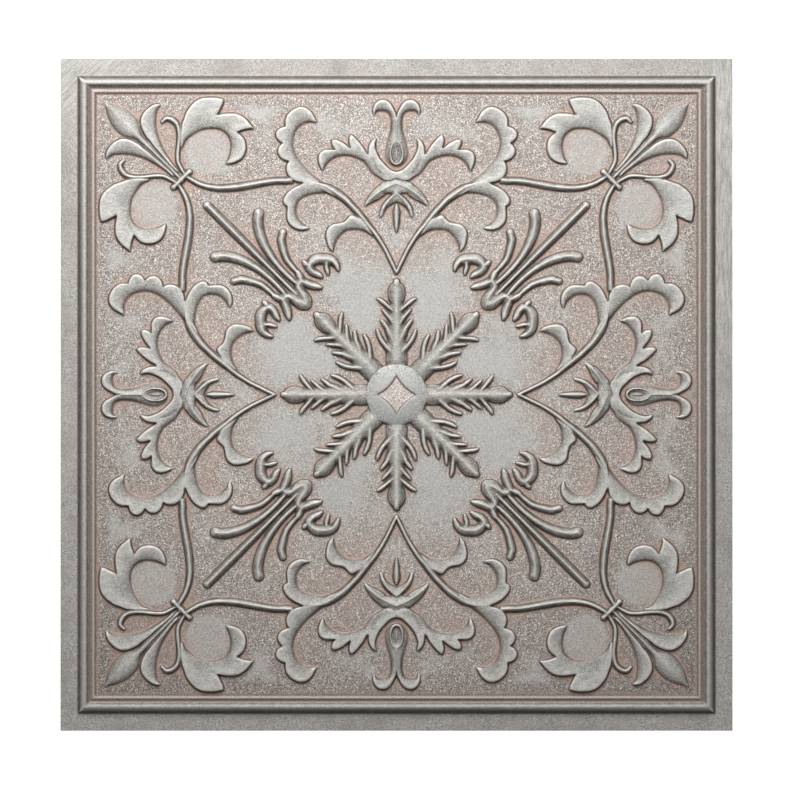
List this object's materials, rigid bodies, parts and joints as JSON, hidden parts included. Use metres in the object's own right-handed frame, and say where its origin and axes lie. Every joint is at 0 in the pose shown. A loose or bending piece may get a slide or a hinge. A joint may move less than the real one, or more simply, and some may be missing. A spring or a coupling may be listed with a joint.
{
  "type": "embossed ceiling panel",
  "caption": "Square ceiling panel of thin formed sheet with a plain flange, a moulded edge and a symmetrical scroll and leaf relief.",
  "frame": {"origin": "centre of the flat back of the flange, where the panel rests", "axes": "+Z out of the embossed face, X and Y along the sides of the square"},
  "size_m": [0.603, 0.603, 0.0086],
  "materials": {
    "painted_pvc": "sprayed metallic silver with dark and copper-coloured antique glaze"
  },
  "bodies": {
    "root": {"panel": "painted_pvc"}
  },
  "joints": []
}
